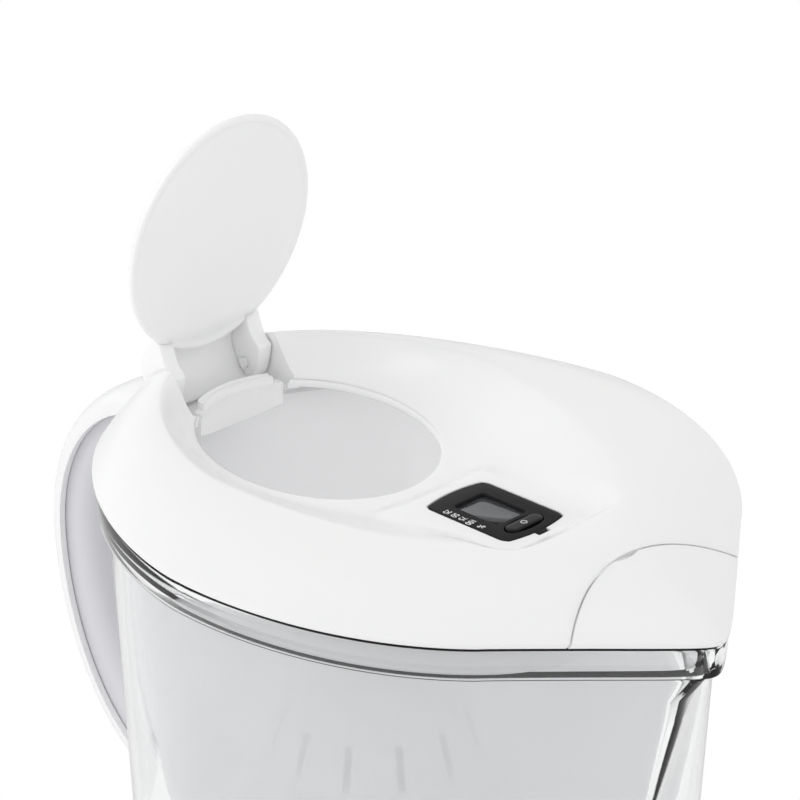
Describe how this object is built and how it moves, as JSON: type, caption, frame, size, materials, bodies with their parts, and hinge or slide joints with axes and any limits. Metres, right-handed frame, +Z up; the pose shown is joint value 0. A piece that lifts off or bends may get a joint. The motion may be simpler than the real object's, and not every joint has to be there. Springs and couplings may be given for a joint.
{
  "type": "water filter pitcher with flip lid",
  "caption": "Clear oval water filter pitcher with a looped handle, a lift-out funnel and cartridge, and a white lid with a refill flap, a pour flap and a filter indicator.",
  "frame": {"origin": "centre of the foot on the table, midway along the jug", "axes": "+Z up, +X toward the spout, the handle on the -X side"},
  "size_m": [0.2268, 0.15, 0.326],
  "materials": {
    "clear_plastic": "clear, smooth",
    "white_plastic": "glossy moulded",
    "grip_plastic": "soft satin",
    "funnel_plastic": "translucent, smooth",
    "dark_plastic": "satin",
    "window_plastic": "clear, smooth",
    "display_glass": "grey-green liquid crystal cell",
    "board": "lacquered",
    "button_plastic": "satin",
    "seal_rubber": "smooth",
    "granules": "granular filter fill",
    "steel": "plain",
    "brass": "plain"
  },
  "bodies": {
    "jug": {"jug": "clear_plastic", "handle_shell": "white_plastic", "handle_grip": "grip_plastic"},
    "funnel": {"funnel": "funnel_plastic"},
    "cartridge": {"cartridge_shell": "white_plastic", "cartridge_seal": "seal_rubber", "cartridge_cap": "white_plastic", "cartridge_strainer": "steel", "filter_media": "granules", "cartridge_grid": "white_plastic"},
    "lid": {"lid_shell": "white_plastic", "lid_ring": "white_plastic", "flap_pin_left": "white_plastic", "flap_pin_right": "white_plastic", "pour_pin_left": "white_plastic", "pour_pin_right": "white_plastic", "indicator_case": "dark_plastic", "indicator_face": "dark_plastic", "indicator_window": "window_plastic", "display": "display_glass", "circuit_board": "board", "button_dome": "steel", "coin_cell": "steel", "battery_contact": "brass", "battery_cover": "dark_plastic"},
    "refill_flap": {"refill_flap": "white_plastic"},
    "pour_flap": {"pour_flap": "white_plastic"},
    "start_button": {"start_button": "button_plastic"}
  },
  "joints": [
    {"name": "funnel_lift", "type": "slide", "parent": "jug", "child": "funnel", "axis": [0, 0, 1], "range_m": [0, 0.1]},
    {"name": "lid_lift", "type": "slide", "parent": "funnel", "child": "lid", "axis": [0, 0, 1], "range_m": [0, 0.06]},
    {"name": "cartridge_lift", "type": "slide", "parent": "funnel", "child": "cartridge", "axis": [0, 0, 1], "range_m": [0, 0.035]},
    {"name": "refill_flap_hinge", "type": "hinge", "parent": "lid", "child": "refill_flap", "pos_m": [-0.071, 0, 0.2533], "axis": [0, 1, 0], "range_deg": [0, 82.6]},
    {"name": "pour_flap_hinge", "type": "hinge", "parent": "lid", "child": "pour_flap", "pos_m": [0.078, 0, 0.2474], "axis": [0, -1, 0], "range_deg": [0, 32]},
    {"name": "start_button_press", "type": "slide", "parent": "lid", "child": "start_button", "axis": [0.0209, 0, -0.9998], "range_m": [0, 0.0006], "stiffness_N_per_m": 800}
  ]
}
